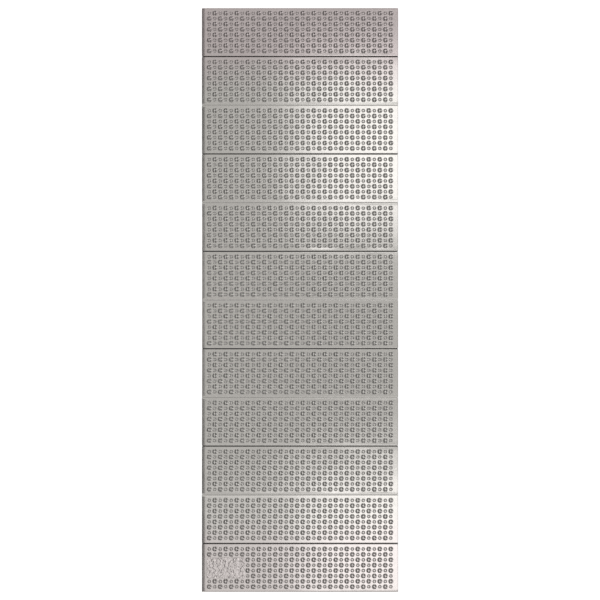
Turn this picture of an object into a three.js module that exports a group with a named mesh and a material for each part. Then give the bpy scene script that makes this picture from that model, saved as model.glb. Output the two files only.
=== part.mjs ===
// Folding foam sleeping pad: a row of foam panels joined by living hinges, with a reflective film on top.
// Millimetres, +Z up. The pad lies flat on z = 0 with its long side along Y, centred over the origin.
// Panel 01 is the +Y end. Folds 01, 03, 05 ... close the undersides together, with a web at the bottom.
// Folds 02, 04, 06 ... close the film sides together, with a web at the top, under unbroken film.
// In names, front is the -Y side of a panel and back is its +Y side.
import * as THREE from 'three';

const PANEL_COUNT = 12;
const PANEL_PITCH = 150; // fold line to fold line
const PAD_WIDTH = 605;
const PAD_THICKNESS = 20;

const TOUCH_GAP = 0.3; // between solids that lie against each other
const FILM_THICKNESS = 0.5;
const WEB_THICKNESS = 1.5;
const FOLD_SET_BACK = 2; // from a fold line to the edge of each panel beside it
const OPEN_BEVEL = 2.5; // on a panel's edges at the open side of a fold's groove
const WEB_BEVEL = 0.5; // on a panel's edges at the side where the web is
const FILM_INSET = 3; // from a panel's outline to the film's
const PATCH_THICKNESS = 0.5;

// Dimples stand in a grid on every panel, and the patch takes the place of a block of them.
const DIMPLE_COLUMNS = 34;
const COLUMN_PITCH = 16.95;
const ROW_PITCH = 16.6;
const PATCH_COLUMNS = 7;
const PATCH_ROWS = 4;

const FILM_TOP = PAD_THICKNESS - PATCH_THICKNESS - TOUCH_GAP;
const FILM_BOTTOM = FILM_TOP - FILM_THICKNESS;
const FOAM_TOP = FILM_BOTTOM - TOUCH_GAP;

const foamMaterial = new THREE.MeshStandardMaterial({ color: 0x55585a, roughness: 0.9, metalness: 0 });
const filmMaterial = new THREE.MeshStandardMaterial({ color: 0xb5b1ad, roughness: 0.38, metalness: 0.9 });
const patchMaterial = new THREE.MeshStandardMaterial({ color: 0xaeaaa6, roughness: 0.45, metalness: 0.85 });

const pad = new THREE.Group();

function twoDigits(number) {
  return String(number).padStart(2, '0');
}

function panelCentreY(panel) {
  return ((PANEL_COUNT + 1) / 2 - panel) * PANEL_PITCH;
}

// Fold N lies between panel N and panel N + 1.
function foldY(fold) {
  return (PANEL_COUNT / 2 - fold) * PANEL_PITCH;
}

function isTopFold(fold) {
  return fold % 2 === 0;
}

function isBottomFold(fold) {
  return fold % 2 === 1 && fold > 0 && fold < PANEL_COUNT;
}

function addMesh(name, geometry, material, x, y, z) {
  const mesh = new THREE.Mesh(geometry, material);
  mesh.name = name;
  mesh.position.set(x, y, z);
  pad.add(mesh);
}

// A slab with its lowest face on z = 0 of its own frame.
function slabGeometry(width, length, thickness) {
  const geometry = new THREE.BoxGeometry(width, length, thickness);
  return geometry.translate(0, 0, thickness / 2);
}

// How far a panel reaches from its centre: short of each fold line, and up to the pad's own ends.
function frontReach(panel) {
  return PANEL_PITCH / 2 - (panel === PANEL_COUNT ? 0 : FOLD_SET_BACK);
}

function backReach(panel) {
  return PANEL_PITCH / 2 - (panel === 1 ? 0 : FOLD_SET_BACK);
}

// The section across a panel, in (y, z), is extruded over the pad's width along X. Every corner is
// bevelled: the groove of a fold is widest at its open side, and the pad's own ends are eased on top.
function foamPanelGeometry(panel) {
  const front = -frontReach(panel);
  const back = backReach(panel);
  const opensUpAtBack = isBottomFold(panel - 1) || panel === 1;
  const opensUpAtFront = isBottomFold(panel) || panel === PANEL_COUNT;
  const topBack = opensUpAtBack ? OPEN_BEVEL : WEB_BEVEL;
  const topFront = opensUpAtFront ? OPEN_BEVEL : WEB_BEVEL;
  const lowBack = opensUpAtBack ? WEB_BEVEL : OPEN_BEVEL;
  const lowFront = opensUpAtFront ? WEB_BEVEL : OPEN_BEVEL;
  const section = new THREE.Shape([
    new THREE.Vector2(front + lowFront, 0),
    new THREE.Vector2(back - lowBack, 0),
    new THREE.Vector2(back, lowBack),
    new THREE.Vector2(back, FOAM_TOP - topBack),
    new THREE.Vector2(back - topBack, FOAM_TOP),
    new THREE.Vector2(front + topFront, FOAM_TOP),
    new THREE.Vector2(front, FOAM_TOP - topFront),
    new THREE.Vector2(front, lowFront),
  ]);
  const geometry = new THREE.ExtrudeGeometry(section, { depth: PAD_WIDTH, bevelEnabled: false });
  geometry.translate(0, 0, -PAD_WIDTH / 2);
  // the section's first axis becomes Y, its second Z, and the extrusion runs along X
  return geometry.applyMatrix4(new THREE.Matrix4().set(0, 0, 1, 0, 1, 0, 0, 0, 0, 1, 0, 0, 0, 0, 0, 1));
}

function addPanels() {
  const filmWidth = PAD_WIDTH - 2 * FILM_INSET;
  for (let panel = 1; panel <= PANEL_COUNT; panel += 1) {
    const y = panelCentreY(panel);
    const number = twoDigits(panel);
    const filmLength = frontReach(panel) + backReach(panel) - 2 * FILM_INSET;
    const filmY = y + (backReach(panel) - frontReach(panel)) / 2;
    const film = slabGeometry(filmWidth, filmLength, FILM_THICKNESS);
    addMesh(`foam_panel_${number}`, foamPanelGeometry(panel), foamMaterial, 0, y, 0);
    addMesh(`reflective_film_${number}`, film, filmMaterial, 0, filmY, FILM_BOTTOM);
  }
}

// The webs are the thin pressed strips of foam that bridge the gap between two panels and bend at a fold.
function addHingeWebs() {
  const webLength = 2 * (FOLD_SET_BACK - TOUCH_GAP);
  for (let fold = 1; fold < PANEL_COUNT; fold += 1) {
    const z = isTopFold(fold) ? FOAM_TOP - WEB_THICKNESS : TOUCH_GAP;
    const web = slabGeometry(PAD_WIDTH, webLength, WEB_THICKNESS);
    addMesh(`hinge_web_${twoDigits(fold)}`, web, foamMaterial, 0, foldY(fold), z);
  }
}

// The film runs unbroken over the top folds, so a strip of it bends there with the web.
function addFilmCreases() {
  const width = PAD_WIDTH - 2 * FILM_INSET;
  const length = 2 * (FOLD_SET_BACK + FILM_INSET - TOUCH_GAP);
  for (let fold = 2; fold < PANEL_COUNT; fold += 2) {
    const crease = slabGeometry(width, length, FILM_THICKNESS);
    addMesh(`film_crease_${twoDigits(fold)}`, crease, filmMaterial, 0, foldY(fold), FILM_BOTTOM);
  }
}

// A blank pressed patch lies on the film of the last panel, over the first columns of its middle rows.
function addBlankPatch() {
  const firstColumnX = (-(DIMPLE_COLUMNS - 1) / 2) * COLUMN_PITCH;
  const centreX = firstColumnX + ((PATCH_COLUMNS - 1) / 2) * COLUMN_PITCH;
  const centreY = panelCentreY(PANEL_COUNT);
  const patch = slabGeometry(PATCH_COLUMNS * COLUMN_PITCH, PATCH_ROWS * ROW_PITCH, PATCH_THICKNESS);
  addMesh('blank_patch', patch, patchMaterial, centreX, centreY, FILM_TOP + TOUCH_GAP);
}

addPanels();
addHingeWebs();
addFilmCreases();
addBlankPatch();

export default pad;
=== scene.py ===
"""Looks of a folding foam sleeping pad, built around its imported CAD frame.

Metres, in the frame's own axes: the pad lies flat on z = 0 with panel 01 at +Y and the film side up.
Each panel is a pressed foam sheet with pits and bumps, under a skin of satin metallised film.
"""

import functools
import math

import bpy
import numpy as np
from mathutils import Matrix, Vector


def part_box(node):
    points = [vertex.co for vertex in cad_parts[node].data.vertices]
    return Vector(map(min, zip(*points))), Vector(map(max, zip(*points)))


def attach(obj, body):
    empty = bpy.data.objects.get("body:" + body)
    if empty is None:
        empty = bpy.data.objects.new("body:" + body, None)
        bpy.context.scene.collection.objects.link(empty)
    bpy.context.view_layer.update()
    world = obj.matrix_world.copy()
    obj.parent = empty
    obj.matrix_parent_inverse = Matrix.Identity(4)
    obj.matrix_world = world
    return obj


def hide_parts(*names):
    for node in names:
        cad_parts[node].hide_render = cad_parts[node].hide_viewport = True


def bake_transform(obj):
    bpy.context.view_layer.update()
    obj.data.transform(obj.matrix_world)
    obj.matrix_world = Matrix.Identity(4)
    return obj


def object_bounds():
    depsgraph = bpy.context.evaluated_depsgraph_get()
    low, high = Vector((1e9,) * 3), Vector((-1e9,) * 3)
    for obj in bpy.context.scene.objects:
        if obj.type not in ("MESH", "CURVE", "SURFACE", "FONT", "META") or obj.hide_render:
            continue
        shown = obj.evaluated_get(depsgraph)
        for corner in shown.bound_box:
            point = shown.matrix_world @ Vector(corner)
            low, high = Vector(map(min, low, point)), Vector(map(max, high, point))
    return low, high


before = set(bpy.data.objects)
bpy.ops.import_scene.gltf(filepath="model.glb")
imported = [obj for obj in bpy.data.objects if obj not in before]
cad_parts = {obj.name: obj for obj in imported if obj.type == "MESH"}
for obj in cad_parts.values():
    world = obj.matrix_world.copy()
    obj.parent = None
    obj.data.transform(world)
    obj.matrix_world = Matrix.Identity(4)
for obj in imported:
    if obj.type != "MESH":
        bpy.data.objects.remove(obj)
cad_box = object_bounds()

# ---- sizes that come from the frame ----
PANEL_COUNT = sum(name.startswith("foam_panel_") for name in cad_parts)
HALF_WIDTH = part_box("foam_panel_06")[1].x
PAD_TOP = cad_box[1].z
HALF_LENGTH = cad_box[1].y
PITCH = 2 * HALF_LENGTH / PANEL_COUNT

# ---- the pressed foam sheet ----
LAND_TOP = 0.0164  # plain surface between the dimples
LAND_BOTTOM = 0.0064  # pits hang below it, down to the ground
PIT_DEPTH = 0.0034
PIT_RADIUS = 0.0080
PIT_FLAT = 0.20  # share of a pit's radius that is flat at the bottom
PIT_WALL_POWER = 1.25  # a higher power makes the top of a pit's wall rounder
BUMP_HEIGHT = 0.0025
BUMP_RADIUS = 0.0060
BUMP_FLAT = 0.44  # share of a bump's radius that is flat on top
FOAM_BUMP_SHARE = 0.9  # the foam's bumps are a little lower than the film's over them
RECESS_HEIGHT = 0.0026  # under each bump
END_RADIUS = 0.0040  # on the pad's two ends
SIDE_RADIUS = 0.0010  # on its long sides
MARGIN_RISE = 0.00012  # the plain margin beside the dimples stands this much above the land
MARGIN_EDGE = (0.0100, 0.0130)  # that small step lies between these distances from a long side
DROOP_REACH = 0.018  # the long sides droop a little over this width
DROOP_POWER = 1.5  # how quickly the droop grows towards the side
LEFT_DROOP = 0.0014
RIGHT_DROOP = 0.0005

# ---- the folds ----
WALL_SET_BACK = 0.0014  # from a fold line to the foam wall beside it
SLIT_RADIUS = 0.0013  # on the foam's upper edges beside a bottom fold
FOOT_BOTTOM = 0.0003  # of the low foot beside a bottom fold
FOOT_EDGE = (0.0030, 0.0070)  # its inner slope lies between these distances from the foam wall
RIDGE_TOP = 0.0166  # at a top fold
RIDGE_REACH = 0.0084  # how far from the fold its ridge starts to rise
CREASE_REACH = 0.0047  # from a top fold to where the panel's own film starts
CREASE_DEPTH = 0.0009  # of the groove that is pressed along a top fold
CREASE_WIDTH = 0.0010
CREASE_POINTS = 25  # across a film crease
WEB_THICKNESS = 0.0013
WEB_CLEARANCE = 0.0001  # a bottom fold's web lies this far above the feet's undersides
WEB_OVERLAP = 0.0015  # how far a web reaches into the foam on each side
WEB_POINTS = 15  # across a web
STRIP_STEPS = 120  # along the webs and creases
STRIP_INSET = 0.0012  # of their ends from the pad's long sides

# ---- the film ----
FILM_THICKNESS = 0.00012
FOAM_CLEARANCE = 0.0006  # the hidden foam top lies this far under the film
FILM_OVERHANG = 0.00015  # the film stands this far out from the foam wall
FILM_LIP = 0.0009  # how far it turns down over the foam's cut edge

# ---- the dimple grid ----
COLUMNS = 34
ROWS = 8
COLUMN_PITCH = 0.01695
ROW_PITCH = 0.0166
CELL_STEPS = 4  # mesh steps along each side of a dimple's cell
SPOKES = 4 * CELL_STEPS
PATCH_COLUMNS = range(0, 7)
PATCH_ROWS = range(2, 6)
PATCH_PANEL = PANEL_COUNT
FILM_RINGS = (0.22, 0.42, 0.60, 0.77, 0.91, 1.0, 1.03)  # mesh rings, as shares of a dimple's radius
FOAM_RINGS = (0.30, 0.58, 0.82, 1.0)
DIMPLE_SEED = 400
DIMPLE_JITTER = 0.0001  # of a dimple's centre
SMALLEST_RADIUS_FACTOR = 0.96
SMALLEST_HEIGHT_FACTOR = 0.88

# ---- the blank patch ----
PATCH_INSET = 0.0010  # from the space that its dimples would fill
PATCH_CORNER = 0.0040
PATCH_CORNER_STEPS = 6
PATCH_TOP = LAND_TOP + 0.0009
PATCH_LOOPS = (  # from its lower edge in over the rim: share of its half width, height over its top
    (1.0, -0.0012), (1.0, 0.0), (0.985, 0.0002), (0.93, 0.0001), (0.5, 0.0)
)

# ---- slow unevenness of each panel's surface ----
WAVE_SEED = 900
WAVE_COUNT = 7
WAVELENGTHS = (0.07, 0.24)
WAVE_STEEPNESS = 0.0003  # height as a share of the wavelength
WAVE_FADE = (0.0036, 0.0100)  # it fades out between these distances from a fold's wall

SHARP_ANGLE = math.radians(55)


def smooth_step(low, high, value):
    """0 below low, 1 above high, and a smooth rise between them."""
    t = np.clip((value - low) / (high - low), 0.0, 1.0)
    return t * t * (3.0 - 2.0 * t)


def panel_centre(panel):
    return ((PANEL_COUNT + 1) / 2 - panel) * PITCH


def fold_line(fold):
    return (PANEL_COUNT / 2 - fold) * PITCH


def side_kind(fold):
    """What a panel's side lies against: the pad's own end, a top fold or a bottom fold."""
    if fold in (0, PANEL_COUNT):
        return "end"
    return "top" if fold % 2 == 0 else "bottom"


def make_mesh(name, points, faces, material):
    """A smooth-shaded mesh object, sharp only along its hard edges."""
    mesh = bpy.data.meshes.new(name)
    mesh.from_pydata(points.tolist(), [], faces)
    mesh.validate()
    mesh.shade_smooth()
    mesh.set_sharp_from_angle(angle=SHARP_ANGLE)
    mesh.materials.append(material)
    piece = bpy.data.objects.new(name, mesh)
    bpy.context.scene.collection.objects.link(piece)
    return piece


# ---- the flat layout of a panel: a grid whose cells hold round dimples ----
class Layout:
    """Flat points and faces of one panel, about its own centre.

    Each point knows its dimple (row * COLUMNS + column, or -1 outside them all) and its distance
    from that dimple's centre as a share of the dimple's radius.
    """

    def __init__(self, panel, rings, front_offsets, back_offsets, side_offsets):
        self.panel = panel
        self.rings = rings
        half_x = COLUMNS * COLUMN_PITCH / 2
        half_y = ROWS * ROW_PITCH / 2
        inner_x = np.linspace(-half_x, half_x, COLUMNS * CELL_STEPS + 1)
        inner_y = np.linspace(-half_y, half_y, ROWS * CELL_STEPS + 1)
        front_wall, back_wall = wall_places(panel)
        self.xs = np.concatenate([
            np.array(side_offsets) - HALF_WIDTH, inner_x, HALF_WIDTH - np.array(side_offsets[::-1])
        ])
        self.ys = np.concatenate([
            np.array(front_offsets) + front_wall, inner_y, back_wall - np.array(back_offsets[::-1])
        ])
        self.first_x = len(side_offsets)
        self.first_y = len(front_offsets)
        self.points = []
        self.dimple = []
        self.share = []
        self.faces = []
        self.grid_ids = {}
        self.add_margins_and_plain_cells()
        self.add_dimples()
        self.xy = np.array(self.points)
        self.dimple = np.array(self.dimple)
        self.share = np.array(self.share)

    def add_point(self, x, y, dimple=-1, share=1.0):
        self.points.append((x, y))
        self.dimple.append(dimple)
        self.share.append(share)
        return len(self.points) - 1

    def grid_point(self, i, j):
        if (i, j) not in self.grid_ids:
            self.grid_ids[i, j] = self.add_point(self.xs[i], self.ys[j])
        return self.grid_ids[i, j]

    def is_dimpled(self, column, row):
        """Rows count from the panel's back, as its dimples do."""
        if not (0 <= column < COLUMNS and 0 <= row < ROWS):
            return False
        on_patch = self.panel == PATCH_PANEL and column in PATCH_COLUMNS and row in PATCH_ROWS
        return not on_patch

    def add_margins_and_plain_cells(self):
        for j in range(len(self.ys) - 1):
            row = ROWS - 1 - (j - self.first_y) // CELL_STEPS
            for i in range(len(self.xs) - 1):
                column = (i - self.first_x) // CELL_STEPS
                if self.is_dimpled(column, row):
                    continue
                self.faces.append((
                    self.grid_point(i, j),
                    self.grid_point(i + 1, j),
                    self.grid_point(i + 1, j + 1),
                    self.grid_point(i, j + 1),
                ))

    def add_dimples(self):
        turns = [2 * math.pi * spoke / SPOKES for spoke in range(SPOKES)]
        for row in range(ROWS):
            for column in range(COLUMNS):
                if self.is_dimpled(column, row):
                    self.add_dimple(column, row, turns)

    def add_dimple(self, column, row, turns):
        dimple = row * COLUMNS + column
        x, y, radius = dimple_spots(self.panel)[dimple][:3]
        centre = self.add_point(x, y, dimple, 0.0)
        loops = []
        for ring in self.rings:
            reach = ring * radius
            loops.append([
                self.add_point(x + reach * math.cos(turn), y + reach * math.sin(turn), dimple, ring)
                for turn in turns
            ])
        loops.append(self.cell_outline(column, row))
        for spoke in range(SPOKES):
            after = (spoke + 1) % SPOKES
            self.faces.append((centre, loops[0][spoke], loops[0][after]))
            for inner, outer in zip(loops, loops[1:]):
                self.faces.append((inner[spoke], outer[spoke], outer[after], inner[after]))

    def cell_outline(self, column, row):
        """Grid points round a cell, counter-clockwise from the middle of its +X side."""
        i = self.first_x + column * CELL_STEPS
        j = self.first_y + (ROWS - 1 - row) * CELL_STEPS
        n = CELL_STEPS
        half = n // 2
        right = [(i + n, j + k) for k in range(half, n)]
        top = [(i + n - k, j + n) for k in range(n)]
        left = [(i, j + n - k) for k in range(n)]
        bottom = [(i + k, j) for k in range(n)]
        rest = [(i + n, j + k) for k in range(half)]
        return [self.grid_point(*spot) for spot in right + top + left + bottom + rest]

    def outline(self):
        """Points round the whole layout, counter-clockwise."""
        last_i = len(self.xs) - 1
        last_j = len(self.ys) - 1
        spots = [(i, 0) for i in range(last_i)]
        spots += [(last_i, j) for j in range(last_j)]
        spots += [(i, last_j) for i in range(last_i, 0, -1)]
        spots += [(0, j) for j in range(last_j, 0, -1)]
        return [self.grid_ids[spot] for spot in spots]


def wall_places(panel):
    """Where a panel's foam ends in front and at the back, from its own centre."""
    front = 0.0 if panel == PANEL_COUNT else WALL_SET_BACK
    back = 0.0 if panel == 1 else WALL_SET_BACK
    return -PITCH / 2 + front, PITCH / 2 - back


@functools.cache
def dimple_spots(panel):
    """Centre x and y, radius, height factor and kind of each dimple: pits and bumps alternate."""
    random = np.random.default_rng(DIMPLE_SEED + panel)
    spots = []
    for row in range(ROWS):
        for column in range(COLUMNS):
            is_pit = (row + column) % 2 == 1
            radius = PIT_RADIUS if is_pit else BUMP_RADIUS
            x = (column - (COLUMNS - 1) / 2) * COLUMN_PITCH
            x += random.uniform(-DIMPLE_JITTER, DIMPLE_JITTER)
            y = ((ROWS - 1) / 2 - row) * ROW_PITCH
            y += random.uniform(-DIMPLE_JITTER, DIMPLE_JITTER)
            radius *= random.uniform(SMALLEST_RADIUS_FACTOR, 1.0)
            height_factor = random.uniform(SMALLEST_HEIGHT_FACTOR, 1.0)
            spots.append((x, y, radius, height_factor, is_pit))
    return spots


# ---- heights ----
def waviness(panel, x, y):
    """Slow unevenness of a panel's surface, as pressed foam has: a sum of long shallow waves."""
    random = np.random.default_rng(WAVE_SEED + panel)
    height = np.zeros_like(x)
    for _ in range(WAVE_COUNT):
        direction = random.uniform(0, math.pi)
        wavelength = random.uniform(*WAVELENGTHS)
        phase = random.uniform(0, 2 * math.pi)
        along = x * math.cos(direction) + y * math.sin(direction)
        height += np.sin(2 * math.pi * along / wavelength + phase) * wavelength
    return height * WAVE_STEEPNESS


def dimple_height(layout, pit_depth, bump_height):
    """How far each point stands above the land, or below it in a pit."""
    height = np.zeros(len(layout.xy))
    inside = layout.dimple >= 0
    spots = np.array(dimple_spots(layout.panel), dtype=float)[layout.dimple[inside]]
    height_factor = spots[:, 3]
    is_pit = spots[:, 4].astype(bool)
    share = layout.share[inside]
    wall_share = np.clip((share - PIT_FLAT) / (1.0 - PIT_FLAT), 0.0, 1.0)
    pit = -pit_depth * (1.0 - wall_share**2) ** PIT_WALL_POWER
    bump = bump_height * (1.0 - smooth_step(BUMP_FLAT, 1.0, share))
    height[inside] = np.where(is_pit, pit, bump) * height_factor
    return height


def round_drop(distance, radius):
    """How far a rounded edge of that radius has dropped at a distance in from the wall."""
    inward = np.clip(radius - distance, 0.0, radius)
    return radius - np.sqrt(radius**2 - inward**2)


def distance_from_side(layout):
    """Distance of each point from the nearer long side of the pad."""
    return HALF_WIDTH - np.abs(layout.xy[:, 0])


def walls_and_distances(layout):
    """The kind of a panel's front and back wall, each with every point's distance from it."""
    front_wall, back_wall = wall_places(layout.panel)
    return (
        (side_kind(layout.panel), layout.xy[:, 1] - front_wall),
        (side_kind(layout.panel - 1), back_wall - layout.xy[:, 1]),
    )


def ridge_rise(from_fold):
    """How far the ridge along a top fold stands above the land."""
    return (RIDGE_TOP - LAND_TOP) * (1.0 - smooth_step(0.0, RIDGE_REACH, from_fold))


def crease_dip(from_fold):
    """How deep the pressed groove along a top fold is."""
    return CREASE_DEPTH * np.exp(-((from_fold / CREASE_WIDTH) ** 2))


def top_height(layout):
    """The foam sheet's upper surface, without its dimples."""
    from_side = distance_from_side(layout)
    walls = walls_and_distances(layout)
    from_nearer_wall = np.minimum(walls[0][1], walls[1][1])
    x, y = layout.xy[:, 0], layout.xy[:, 1]
    margin = 1.0 - smooth_step(*MARGIN_EDGE, from_side)
    height = LAND_TOP + MARGIN_RISE * margin
    height += waviness(layout.panel, x, y) * smooth_step(*WAVE_FADE, from_nearer_wall)
    for kind, distance in walls:
        if kind == "top":
            height += ridge_rise(distance + WALL_SET_BACK)
        else:
            height = height - round_drop(distance, SLIT_RADIUS if kind == "bottom" else END_RADIUS)
    droop = np.where(x < 0, LEFT_DROOP, RIGHT_DROOP)
    height -= droop * np.clip(1.0 - from_side / DROOP_REACH, 0.0, 1.0) ** DROOP_POWER
    return height - round_drop(from_side, SIDE_RADIUS)


def bottom_height(layout):
    """The foam sheet's lower surface, without its dimples."""
    height = np.full(len(layout.xy), LAND_BOTTOM)
    for kind, distance in walls_and_distances(layout):
        if kind == "bottom":
            foot = 1.0 - smooth_step(*FOOT_EDGE, distance)
            height = height * (1.0 - foot) + FOOT_BOTTOM * foot
        else:
            height = height + round_drop(distance, END_RADIUS)
    return height + round_drop(distance_from_side(layout), SIDE_RADIUS)


def sheet_solid(name, layout, upper, lower, material):
    """A closed solid between two surfaces over the same layout."""
    count = len(layout.xy)
    centre_y = panel_centre(layout.panel)
    flat = layout.xy + np.array([0.0, centre_y])
    points = np.vstack([np.column_stack([flat, upper]), np.column_stack([flat, lower])])
    faces = list(layout.faces)
    faces += [tuple(count + k for k in reversed(face)) for face in layout.faces]
    loop = layout.outline()
    for first, second in zip(loop, loop[1:] + loop[:1]):
        faces.append((first, count + first, count + second, second))
    return make_mesh(name, points, faces, material)


# ---- pieces ----
# Mesh lines beside a panel's edges, as distances in from the wall.
FOAM_WALL_STEPS = (0.0, 0.0006, 0.0016, 0.0030, 0.0048, 0.0068)
FOAM_MARGIN_STEPS = (0.0095,)  # further in, on the wider plain margins along the long sides
FILM_WALL_STEPS = (0.0, 0.0003, 0.0008, 0.0015, 0.0024, 0.0036, 0.0052, 0.0070)
FILM_MARGIN_STEPS = (0.0090, 0.0110)
FILM_STEPS_PAST_CREASE = (0.00005, 0.0010, 0.0020, 0.0032, 0.0045)  # from the end of a crease


def film_steps(kind):
    """Mesh lines of the film beside one edge of a panel, as distances in from the wall."""
    if kind == "top":
        start = CREASE_REACH - WALL_SET_BACK
        return tuple(start + step for step in FILM_STEPS_PAST_CREASE)
    return (-FILM_OVERHANG, -FILM_OVERHANG / 2) + FILM_WALL_STEPS


def add_foam_panel(panel, material):
    side_steps = FOAM_WALL_STEPS + FOAM_MARGIN_STEPS
    layout = Layout(panel, FOAM_RINGS, FOAM_WALL_STEPS, FOAM_WALL_STEPS, side_steps)
    dimples = dimple_height(layout, PIT_DEPTH, BUMP_HEIGHT * FOAM_BUMP_SHARE)
    upper = top_height(layout) + dimples - FOAM_CLEARANCE
    lower = bottom_height(layout) + dimple_height(layout, LAND_BOTTOM, RECESS_HEIGHT)
    name = f"foam_body_{panel:02d}"
    piece = sheet_solid(name, layout, upper, lower, material)
    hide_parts(f"foam_panel_{panel:02d}")
    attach(piece, f"panel_{panel:02d}")


def add_film_skin(panel, material):
    front_steps, back_steps = film_steps(side_kind(panel)), film_steps(side_kind(panel - 1))
    side_steps = film_steps("side") + FILM_MARGIN_STEPS
    layout = Layout(panel, FILM_RINGS, front_steps, back_steps, side_steps)
    upper = top_height(layout) + dimple_height(layout, PIT_DEPTH, BUMP_HEIGHT)
    lip = lip_share(distance_from_side(layout))
    for kind, distance in walls_and_distances(layout):
        if kind != "top":
            lip = np.maximum(lip, lip_share(distance))
    upper -= lip * FILM_LIP
    lower = upper - FILM_THICKNESS
    piece = sheet_solid(f"film_skin_{panel:02d}", layout, upper, lower, material)
    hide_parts(f"reflective_film_{panel:02d}")
    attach(piece, f"panel_{panel:02d}")


def lip_share(distance):
    """1 at the lowest row of the film's turned-down edge, and 0 everywhere on the panel."""
    return np.clip(-2.0 * distance / FILM_OVERHANG - 1.0, 0.0, 1.0)


def strip_solid(name, across, upper, lower, line_y, material):
    """A strip along a fold: a section of (offset, height) points, repeated over the pad's width."""
    end = HALF_WIDTH - STRIP_INSET
    xs = np.linspace(-end, end, STRIP_STEPS + 1)
    section = [*zip(across, upper), *zip(across[::-1], lower[::-1])]
    size = len(section)
    points = np.array([(x, line_y + y, z) for x in xs for y, z in section])
    faces = [tuple(range(size)), tuple(reversed(range((len(xs) - 1) * size, len(xs) * size)))]
    for i in range(len(xs) - 1):
        for k in range(size):
            after = (k + 1) % size
            faces.append((i * size + k, (i + 1) * size + k, (i + 1) * size + after, i * size + after))
    return make_mesh(name, points, faces, material)


def bend_over_fold(piece):
    """Bakes the strip's placement into its mesh; the strip itself is not bent."""
    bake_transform(piece)


def add_web(fold, material):
    reach = WALL_SET_BACK + WEB_OVERLAP
    across = np.linspace(-reach, reach, WEB_POINTS)
    if side_kind(fold) == "top":
        upper = RIDGE_TOP - FOAM_CLEARANCE - crease_dip(across)
        lower = upper - WEB_THICKNESS
    else:
        lower = np.full(WEB_POINTS, FOOT_BOTTOM + WEB_CLEARANCE)
        upper = lower + WEB_THICKNESS
    piece = strip_solid(f"web_fold_{fold:02d}", across, upper, lower, fold_line(fold), material)
    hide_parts(f"hinge_web_{fold:02d}")
    bend_over_fold(piece)


def add_crease(fold, material):
    across = np.linspace(-CREASE_REACH, CREASE_REACH, CREASE_POINTS)
    upper = LAND_TOP + ridge_rise(np.abs(across)) - crease_dip(across)
    lower = upper - FILM_THICKNESS
    piece = strip_solid(f"crease_fold_{fold:02d}", across, upper, lower, fold_line(fold), material)
    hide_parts(f"film_crease_{fold:02d}")
    bend_over_fold(piece)


def rounded_rectangle(half_x, half_y, corner):
    """Points round a rectangle with round corners, counter-clockwise, centred on the origin."""
    outline = []
    for side_x, side_y, start in ((1, 1, 0), (-1, 1, 90), (-1, -1, 180), (1, -1, 270)):
        for step in range(PATCH_CORNER_STEPS + 1):
            turn = math.radians(start + 90 * step / PATCH_CORNER_STEPS)
            outline.append((
                side_x * (half_x - corner) + corner * math.cos(turn),
                side_y * (half_y - corner) + corner * math.sin(turn),
            ))
    return np.array(outline)


def add_patch(material):
    """The blank patch: a thin pressed plaque with a raised rim and rounded corners."""
    low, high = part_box("blank_patch")
    centre = (low + high) / 2
    half_x = (high.x - low.x) / 2 - PATCH_INSET
    half_y = (high.y - low.y) / 2 - PATCH_INSET
    outline = rounded_rectangle(half_x, half_y, PATCH_CORNER)
    size = len(outline)
    points, faces = [], []
    for scale, rise in PATCH_LOOPS:
        inset = (1.0 - scale) * half_y
        shrink = np.array([(half_x - inset) / half_x, (half_y - inset) / half_y])
        points += [(centre.x + x, centre.y + y, PATCH_TOP + rise) for x, y in outline * shrink]
    for loop in range(len(PATCH_LOOPS) - 1):
        first = loop * size
        for k in range(size):
            after = (k + 1) % size
            faces.append((first + k, first + after, first + size + after, first + size + k))
    faces.append(tuple(range((len(PATCH_LOOPS) - 1) * size, len(PATCH_LOOPS) * size)))
    faces.append(tuple(reversed(range(size))))
    piece = make_mesh("patch_blank", np.array(points), faces, material)
    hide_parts("blank_patch")
    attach(piece, f"panel_{PATCH_PANEL:02d}")


# ---- materials ----
class Nodes:
    """Short calls for building a procedural material."""

    def __init__(self, name):
        self.material = bpy.data.materials.new(name)
        self.material.use_nodes = True
        self.tree = self.material.node_tree
        self.shader = self.tree.nodes["Principled BSDF"]
        self.place = self.add("ShaderNodeTexCoord").outputs["Object"]

    def add(self, kind, **inputs):
        node = self.tree.nodes.new(kind)
        for key, value in inputs.items():
            self.put(node.inputs[key.replace("_", " ")], value)
        return node

    def put(self, socket, value):
        if isinstance(value, bpy.types.NodeSocket):
            self.tree.links.new(value, socket)
        else:
            socket.default_value = value

    def set(self, **inputs):
        for key, value in inputs.items():
            self.put(self.shader.inputs[key.replace("_", " ")], value)

    def noise(self, scale, detail=2.0, distortion=0.0):
        node = self.add("ShaderNodeTexNoise", Vector=self.place, Scale=scale, Detail=detail)
        self.put(node.inputs["Distortion"], distortion)
        return node.outputs["Fac"]

    def cells(self, scale):
        return self.add("ShaderNodeTexVoronoi", Vector=self.place, Scale=scale).outputs["Distance"]

    def ramp(self, factor, *stops):
        node = self.add("ShaderNodeValToRGB", Fac=factor)
        elements = node.color_ramp.elements
        while len(elements) < len(stops):
            elements.new(0.5)
        for element, (position, colour) in zip(elements, stops):
            element.position = position
            element.color = (*colour, 1.0)
        return node.outputs["Color"]

    def spread(self, factor, low, high):
        node = self.add("ShaderNodeMapRange", Value=factor)
        node.inputs["To Min"].default_value = low
        node.inputs["To Max"].default_value = high
        return node.outputs["Result"]

    def bump(self, height, strength, distance, normal=None):
        node = self.add("ShaderNodeBump", Height=height, Strength=strength, Distance=distance)
        if normal is not None:
            self.put(node.inputs["Normal"], normal)
        return node.outputs["Normal"]


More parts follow.
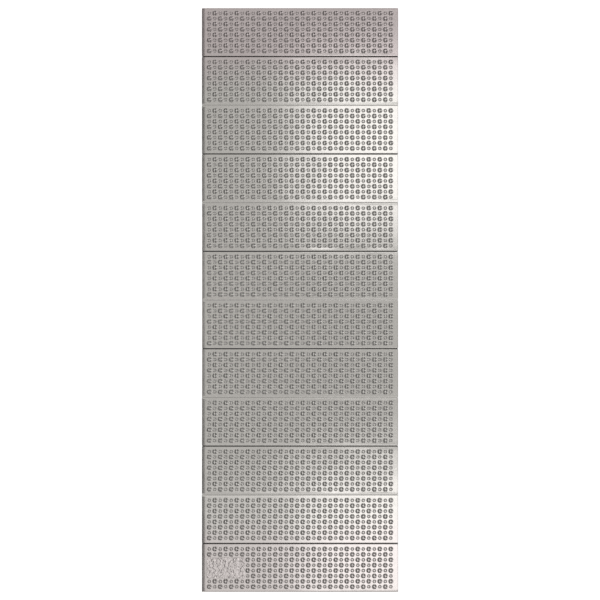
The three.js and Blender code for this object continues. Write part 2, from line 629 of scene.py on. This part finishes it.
def film_material(name, base, blush, mottle_depth):
    """Satin metallised film: warm silver, finely crinkled, and blushed towards the pad's two ends."""
    nodes = Nodes(name)
    half_blush = tuple((plain + pink) / 2 for plain, pink in zip(base, blush))
    tint = nodes.ramp(
        place_along_pad(nodes),
        (0.0, half_blush),
        (0.08, half_blush),
        (0.13, base),
        (0.86, base),
        (0.93, blush),
    )
    nodes.set(Base_Color=tint, Metallic=0.92)
    nodes.set(Roughness=nodes.spread(nodes.noise(scale=55.0, detail=4.0), 0.13, 0.23))
    mottle = nodes.bump(nodes.noise(130.0, 0.5, 0.8), strength=1.0, distance=mottle_depth)
    crinkle = nodes.bump(nodes.noise(110.0, 4.0, 1.2), strength=1.0, distance=0.00006, normal=mottle)
    grain = nodes.bump(nodes.noise(620.0, 3.0), strength=1.0, distance=0.00004, normal=crinkle)
    nodes.set(Normal=grain)
    return nodes.material


def place_along_pad(nodes):
    """0 at the pad's -Y end and 1 at its +Y end, with a slow wobble of a few centimetres."""
    wobble = nodes.spread(nodes.noise(scale=5.0, detail=3.0, distortion=0.6), -0.08, 0.08)
    parts = nodes.add("ShaderNodeSeparateXYZ", Vector=nodes.place)
    along = nodes.add("ShaderNodeMath", Value=parts.outputs["Y"])
    nodes.put(along.inputs[1], wobble)
    share = nodes.add("ShaderNodeMapRange", Value=along.outputs["Value"])
    share.inputs["From Min"].default_value = -HALF_LENGTH
    share.inputs["From Max"].default_value = HALF_LENGTH
    return share.outputs["Result"]


def foam_material():
    """Closed-cell foam: dark grey, matt, with fine cells."""
    nodes = Nodes("closed_cell_foam")
    tone = nodes.ramp(
        nodes.noise(scale=140.0, detail=6.0),
        (0.25, (0.125, 0.130, 0.134)),
        (0.55, (0.165, 0.170, 0.174)),
        (0.85, (0.215, 0.220, 0.224)),
    )
    nodes.set(Base_Color=tone, Roughness=nodes.spread(nodes.noise(scale=300.0), 0.72, 0.92))
    cells = nodes.bump(nodes.cells(scale=850.0), strength=0.5, distance=0.0004)
    dents = nodes.bump(nodes.noise(scale=90.0, detail=3.0), strength=0.25, distance=0.0015, normal=cells)
    nodes.set(Normal=dents)
    return nodes.material


# ---- stage, light and camera ----
# Grey levels of the sky by direction: the first table goes from -X to +X, the second from the
# horizon up. Their product is a bright band overhead along the pad, between two dark ones.
WORLD_BAND = (
    (0.0, 0.54), (0.18, 0.45), (0.28, 0.09), (0.38, 0.07), (0.42, 1.0),
    (0.47, 0.80), (0.53, 0.80), (0.58, 1.0), (0.64, 0.09), (1.0, 0.52),
)
WORLD_RISE = ((0.0, 0.86), (0.40, 0.66), (0.50, 0.24), (0.70, 0.20), (0.86, 0.61))
WORLD_STRENGTH = 1.13
WORLD_BLUE = 0.985  # blue as a share of red and green, which makes the light a little warm
LIGHT_HEIGHT = 2.2
SOFT_BOX_X = 0.50
FLOOR_REACH = 30.0
FLOOR_DROP = 0.0004  # from the ground to the floor's surface
CAMERA_DISTANCE = 6.0
FRAME_SHARE = 1.026  # the frame's height as a share of the pad's length


def add_floor():
    corners = np.array([
        (side_x * FLOOR_REACH, side_y * FLOOR_REACH, -FLOOR_DROP)
        for side_x, side_y in ((-1, -1), (1, -1), (1, 1), (-1, 1))
    ])
    nodes = Nodes("pale_floor")
    nodes.set(Base_Color=(0.93, 0.93, 0.93, 1.0), Roughness=0.9)
    nodes.set(Emission_Color=(1.0, 1.0, 1.0, 1.0), Emission_Strength=0.85)
    floor = make_mesh("floor", corners, [(0, 1, 2, 3)], nodes.material)


def add_area_light(name, place, target, size, power):
    light = bpy.data.lights.new(name, "AREA")
    light.shape = "RECTANGLE"
    light.size, light.size_y = size
    light.energy = power
    lamp = bpy.data.objects.new(name, light)
    lamp.location = place
    lamp.rotation_euler = (Vector(target) - Vector(place)).to_track_quat("-Z", "Y").to_euler()
    lamp.visible_camera = False
    bpy.context.scene.collection.objects.link(lamp)


def add_lights():
    """Soft boxes over the pad's right side, with a gap over its middle, and a weak fill from the left."""
    for name, along, length, power in (("box_back", 0.65, 0.7, 2.0), ("box_front", -1.02, 0.66, 1.85)):
        place = (SOFT_BOX_X, along, LIGHT_HEIGHT)
        add_area_light(name, place, (SOFT_BOX_X, along, 0), (1.0, length), power)
    add_area_light("box_corner", (-0.25, -1.15, LIGHT_HEIGHT), (-0.25, -1.15, 0), (0.8, 0.7), 0.45)
    add_area_light("fill_left", (-2.4, 0.0, LIGHT_HEIGHT), (0, 0, 0), (1.0, 3.0), 8)


def add_world():
    """A soft studio sky, the product of its two tables of grey levels."""
    world = bpy.data.worlds.new("studio")
    world.use_nodes = True
    tree = world.node_tree
    direction = tree.nodes.new("ShaderNodeTexCoord").outputs["Generated"]
    parts = tree.nodes.new("ShaderNodeSeparateXYZ")
    tree.links.new(direction, parts.inputs["Vector"])
    across = tree.nodes.new("ShaderNodeMapRange")
    across.inputs["From Min"].default_value = -1.0
    tree.links.new(parts.outputs["X"], across.inputs["Value"])
    band = grey_ramp(tree, across.outputs["Result"], WORLD_BAND)
    rise = grey_ramp(tree, parts.outputs["Z"], WORLD_RISE)
    product = tree.nodes.new("ShaderNodeVectorMath")
    product.operation = "MULTIPLY"
    tree.links.new(band, product.inputs[0])
    tree.links.new(rise, product.inputs[1])
    background = tree.nodes["Background"]
    tree.links.new(product.outputs["Vector"], background.inputs["Color"])
    background.inputs["Strength"].default_value = WORLD_STRENGTH
    bpy.context.scene.world = world


def grey_ramp(tree, factor, stops):
    """A ramp of slightly warm grey levels."""
    ramp = tree.nodes.new("ShaderNodeValToRGB")
    tree.links.new(factor, ramp.inputs["Fac"])
    elements = ramp.color_ramp.elements
    while len(elements) < len(stops):
        elements.new(0.5)
    for element, (position, level) in zip(elements, stops):
        element.position = position
        element.color = (level, level, level * WORLD_BLUE, 1.0)
    return ramp.outputs["Color"]


def add_camera():
    """Straight down over the pad's centre, with a long lens, so that the pad fills the frame's height."""
    camera = bpy.data.cameras.new("camera")
    camera.sensor_width = 36.0
    frame_height = 2 * HALF_LENGTH * FRAME_SHARE
    camera.lens = camera.sensor_width * CAMERA_DISTANCE / frame_height
    viewer = bpy.data.objects.new("camera", camera)
    viewer.location = (0.0, 0.0, CAMERA_DISTANCE + PAD_TOP)
    bpy.context.scene.collection.objects.link(viewer)
    bpy.context.scene.camera = viewer


add_camera()
add_world()
add_lights()
add_floor()
film = film_material("metallised_film", (0.77, 0.743, 0.718), (0.77, 0.685, 0.690), mottle_depth=0.0)
foam = foam_material()
for panel_number in range(1, PANEL_COUNT + 1):
    add_foam_panel(panel_number, foam)
    add_film_skin(panel_number, film)
for fold_number in range(1, PANEL_COUNT):
    add_web(fold_number, foam)
    if side_kind(fold_number) == "top":
        add_crease(fold_number, film)
add_patch(film_material("pressed_film", (0.75, 0.70, 0.69), (0.75, 0.68, 0.68), mottle_depth=0.0013))
bpy.context.scene.view_settings.view_transform = "Standard"
